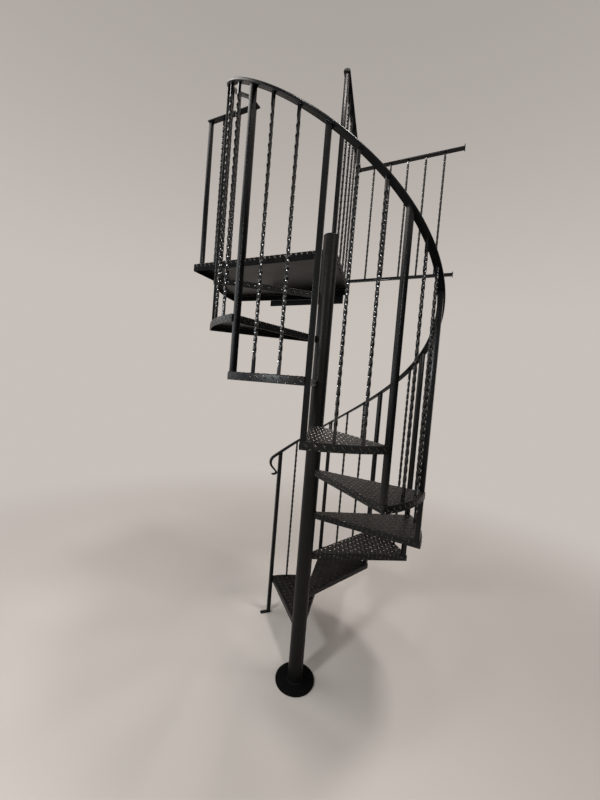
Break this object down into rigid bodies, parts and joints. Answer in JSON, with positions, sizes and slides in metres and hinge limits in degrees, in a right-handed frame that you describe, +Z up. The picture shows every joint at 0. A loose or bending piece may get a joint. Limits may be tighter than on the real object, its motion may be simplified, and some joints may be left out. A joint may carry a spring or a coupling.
{
  "type": "spiral staircase",
  "caption": "Black steel spiral staircase with wedge pan treads round a pipe column, twisted balusters, a winding handrail, a corner landing and an upper-floor guard",
  "frame": {"origin": "on the axis of the column, on the underside of the base plate at floor level", "axes": "+Z up, +Y from the stair towards the upper floor, +X along the edge of the upper floor; the stair climbs clockwise seen from above"},
  "size_m": [1.675, 1.5038, 3.5827],
  "materials": {
    "frame_paint": "satin",
    "tread_plate": "satin",
    "rail_paint": "satin"
  },
  "bodies": {
    "root": {"base_plate": "frame_paint", "center_column": "frame_paint", "column_cap": "frame_paint", "tread_1": "tread_plate", "tread_2": "tread_plate", "tread_3": "tread_plate", "tread_4": "tread_plate", "tread_5": "tread_plate", "tread_6": "tread_plate", "tread_7": "tread_plate", "tread_8": "tread_plate", "tread_9": "tread_plate", "newel_post": "frame_paint", "post_1": "frame_paint", "post_2": "frame_paint", "post_3": "frame_paint", "post_4": "frame_paint", "post_5": "frame_paint", "post_6": "frame_paint", "post_7": "frame_paint", "post_8": "frame_paint", "balusters_1": "frame_paint", "balusters_2": "frame_paint", "balusters_3": "frame_paint", "balusters_4": "frame_paint", "balusters_5": "frame_paint", "balusters_6": "frame_paint", "balusters_7": "frame_paint", "balusters_8": "frame_paint", "balusters_9": "frame_paint", "handrail": "rail_paint", "landing_deck": "tread_plate", "wall_flange": "frame_paint", "landing_newel": "frame_paint", "corner_post": "frame_paint", "column_post": "frame_paint", "front_rail": "rail_paint", "front_bars": "frame_paint", "side_rail": "rail_paint", "side_bars": "frame_paint", "loft_top_rail": "rail_paint", "loft_bottom_rail": "frame_paint", "loft_bars": "frame_paint", "rail_end_plates": "frame_paint"}
  },
  "joints": []
}
